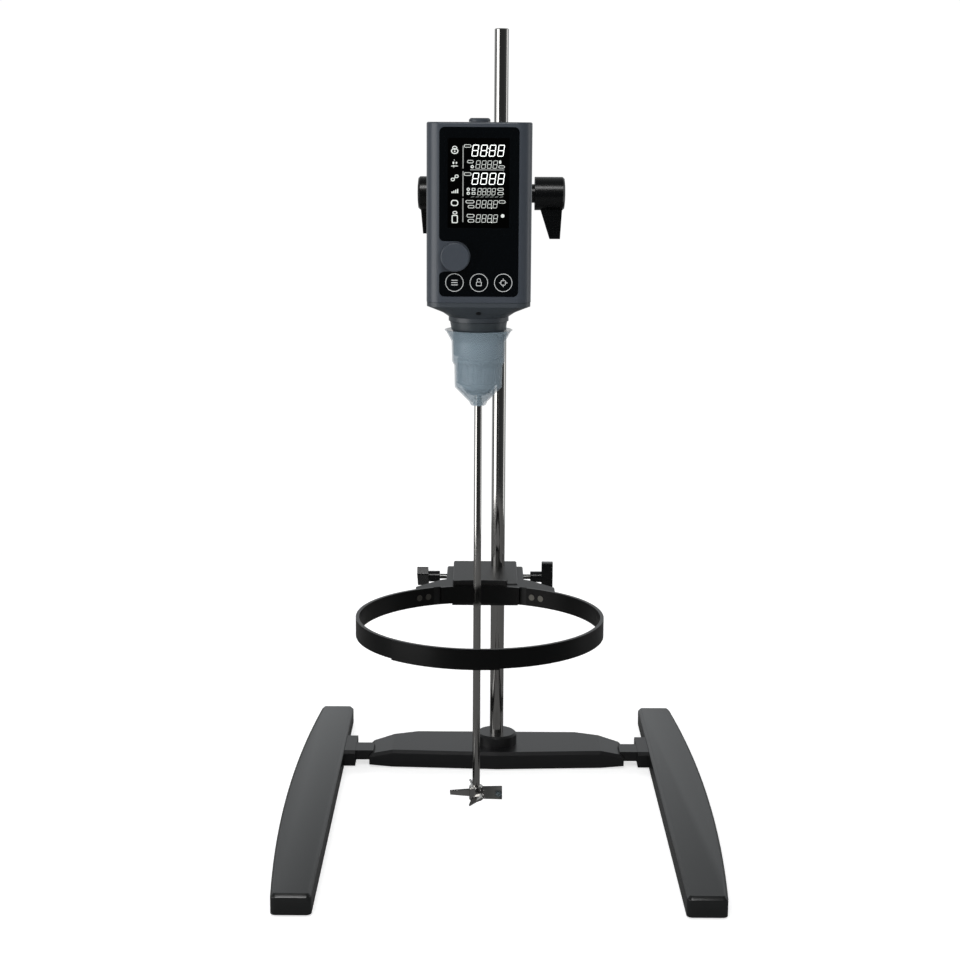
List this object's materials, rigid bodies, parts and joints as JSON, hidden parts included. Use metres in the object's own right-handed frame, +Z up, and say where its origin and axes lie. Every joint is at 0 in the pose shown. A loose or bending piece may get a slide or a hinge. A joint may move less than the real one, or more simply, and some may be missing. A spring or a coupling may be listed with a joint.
{
  "type": "overhead stirrer",
  "caption": "Bench overhead stirrer: motor head with display, knob and chuck guard on an H-shaped rod stand, with a stirring shaft and a strap clamp for the vessel.",
  "frame": {"origin": "on the bench at the centre of the base's footprint", "axes": "+Z up, -Y towards the operator and the display, +X to the operator's right"},
  "size_m": [0.4082, 0.515, 0.748],
  "materials": {
    "foot_paint": "satin powder coat",
    "beam_paint": "satin powder coat",
    "pad_rubber": "matt",
    "rod_steel": "polished stainless steel",
    "shaft_steel": "polished stainless steel",
    "screw_steel": "turned steel",
    "strap_screw": "blackened steel",
    "clamp_paint": "black semi-gloss",
    "knob_plastic": "fine textured",
    "case_plastic": "satin slate grey",
    "cover_metal": "painted slate grey",
    "neck_plastic": "satin dark grey",
    "panel_glass": "polished black glass",
    "display": "black",
    "board": "printed circuit board",
    "encoder": "moulded",
    "switch_plastic": "moulded",
    "bearing_steel": "ground",
    "gear_steel": "cut and oiled",
    "plate_metal": "milled",
    "motor_metal": "anodised black",
    "chuck_metal": "blackened steel",
    "jaw_steel": "ground",
    "guard_plastic": "translucent natural plastic",
    "strap_rubber": "semi-gloss black",
    "bracket_plastic": "moulded black"
  },
  "bodies": {
    "stand": {"foot_left": "foot_paint", "foot_right": "foot_paint", "foot_pads": "pad_rubber", "cross_beam": "beam_paint", "beam_screws": "screw_steel", "stand_rod": "rod_steel", "rod_bolt": "screw_steel"},
    "boss_head": {"clamp_body": "clamp_paint"},
    "rod_lever": {"rod_clamp_knob": "knob_plastic", "rod_clamp_screw": "screw_steel"},
    "arm_lever": {"arm_clamp_knob": "knob_plastic", "arm_clamp_screw": "screw_steel"},
    "head": {"front_shell": "case_plastic", "rear_shell": "case_plastic", "housing_screws": "screw_steel", "bottom_cover": "cover_metal", "neck_collar": "neck_plastic", "bezel_panel": "panel_glass", "display_module": "display", "control_board": "board", "encoder_body": "encoder", "support_arm": "rod_steel", "arm_flange": "cover_metal", "flange_screws": "screw_steel", "switch_frame": "switch_plastic", "power_inlet": "switch_plastic", "upper_bearing": "bearing_steel", "lower_bearing": "bearing_steel", "motor_plate": "plate_metal", "motor_can": "motor_metal"},
    "encoder_plunger": {"encoder_shaft": "bearing_steel"},
    "speed_knob": {"rotary_knob": "case_plastic"},
    "plug": {"bore_plug": "pad_rubber"},
    "rocker": {"switch_rocker": "switch_plastic"},
    "drive_spindle": {"spindle": "bearing_steel", "drive_gear": "gear_steel", "chuck_body": "chuck_metal"},
    "rotor": {"motor_shaft": "bearing_steel", "pinion": "gear_steel"},
    "sleeve": {"chuck_sleeve": "chuck_metal"},
    "jaw_1": {"chuck_jaw_1": "jaw_steel"},
    "jaw_2": {"chuck_jaw_2": "jaw_steel"},
    "jaw_3": {"chuck_jaw_3": "jaw_steel"},
    "tool": {"stirring_shaft": "shaft_steel", "propeller": "shaft_steel", "propeller_screw": "screw_steel"},
    "guard": {"splash_guard": "guard_plastic"},
    "strap_clamp": {"strap_bracket": "bracket_plastic", "strap_band": "strap_rubber", "strap_tail": "strap_rubber", "strap_screws": "strap_screw", "vessel_pad": "pad_rubber"},
    "right_wing": {"bracket_knob_right": "knob_plastic", "bracket_screw_right": "screw_steel"},
    "left_wing": {"bracket_knob_left": "knob_plastic", "bracket_screw_left": "screw_steel"}
  },
  "joints": [
    {"name": "head_height", "type": "slide", "parent": "stand", "child": "boss_head", "axis": [0, 0, 1], "range_m": [-0.025, 0.125]},
    {"name": "rod_lever_turn", "type": "hinge", "parent": "boss_head", "child": "rod_lever", "pos_m": [0, 0.1385, 0.589], "axis": [1, 0, 0], "range_deg": [0, 360]},
    {"name": "arm_lever_turn", "type": "hinge", "parent": "boss_head", "child": "arm_lever", "pos_m": [0, 0.1385, 0.589], "axis": [-1, 0, 0], "range_deg": [0, 360]},
    {"name": "head_reach", "type": "slide", "parent": "boss_head", "child": "head", "axis": [0, 1, 0], "range_m": [-0.012, 0.075]},
    {"name": "knob_push", "type": "slide", "parent": "head", "child": "encoder_plunger", "axis": [0, 1, 0], "range_m": [0, 0.0006], "stiffness_N_per_m": 2000, "springref_m": -0.0006},
    {"name": "knob_turn", "type": "hinge", "parent": "encoder_plunger", "child": "speed_knob", "pos_m": [-0.04105, -0.102, 0.5432], "axis": [0, 1, 0], "continuous": true},
    {"name": "plug_lift", "type": "slide", "parent": "head", "child": "plug", "axis": [0, 0, 1], "range_m": [0, 0.03]},
    {"name": "switch_rock", "type": "hinge", "parent": "head", "child": "rocker", "pos_m": [-0.0415, 0.016, 0.533], "axis": [1, 0, 0], "range_deg": [-18, 0]},
    {"name": "spindle_spin", "type": "hinge", "parent": "head", "child": "drive_spindle", "pos_m": [-0.0205, -0.057, 0.5], "axis": [0, 0, 1], "continuous": true},
    {"name": "rotor_spin", "type": "hinge", "parent": "head", "child": "rotor", "pos_m": [-0.0205, -0.019, 0.515], "axis": [0, 0, 1], "continuous": true},
    {"name": "sleeve_turn", "type": "hinge", "parent": "drive_spindle", "child": "sleeve", "pos_m": [-0.0205, -0.057, 0.437], "axis": [0, 0, 1], "range_deg": [0, 180]},
    {"name": "jaw_1_slide", "type": "slide", "parent": "drive_spindle", "child": "jaw_1", "axis": [0, 0.2588, 0.9659], "range_m": [0, 0.005]},
    {"name": "jaw_2_slide", "type": "slide", "parent": "drive_spindle", "child": "jaw_2", "axis": [-0.2241, -0.1294, 0.9659], "range_m": [0, 0.005]},
    {"name": "jaw_3_slide", "type": "slide", "parent": "drive_spindle", "child": "jaw_3", "axis": [0.2241, -0.1294, 0.9659], "range_m": [0, 0.005]},
    {"name": "shaft_height", "type": "slide", "parent": "drive_spindle", "child": "tool", "axis": [0, 0, 1], "range_m": [-0.012, 0.15]},
    {"name": "guard_slide", "type": "slide", "parent": "head", "child": "guard", "axis": [0, 0, 1], "range_m": [-0.09, 0]},
    {"name": "strap_height", "type": "slide", "parent": "stand", "child": "strap_clamp", "axis": [0, 0, 1], "range_m": [-0.14, 0.25]},
    {"name": "right_wing_turn", "type": "hinge", "parent": "strap_clamp", "child": "right_wing", "pos_m": [0, 0.1385, 0.198], "axis": [1, 0, 0], "range_deg": [0, 360]},
    {"name": "left_wing_turn", "type": "hinge", "parent": "strap_clamp", "child": "left_wing", "pos_m": [0, 0.1385, 0.198], "axis": [-1, 0, 0], "range_deg": [0, 360]}
  ],
  "couplings": [
    {"joint": "rotor_spin", "follows": "spindle_spin", "ratio": -3.2222},
    {"joint": "jaw_1_slide", "follows": "sleeve_turn", "m_per_rad": 0.0015597},
    {"joint": "jaw_2_slide", "follows": "sleeve_turn", "m_per_rad": 0.0015597},
    {"joint": "jaw_3_slide", "follows": "sleeve_turn", "m_per_rad": 0.0015597}
  ]
}
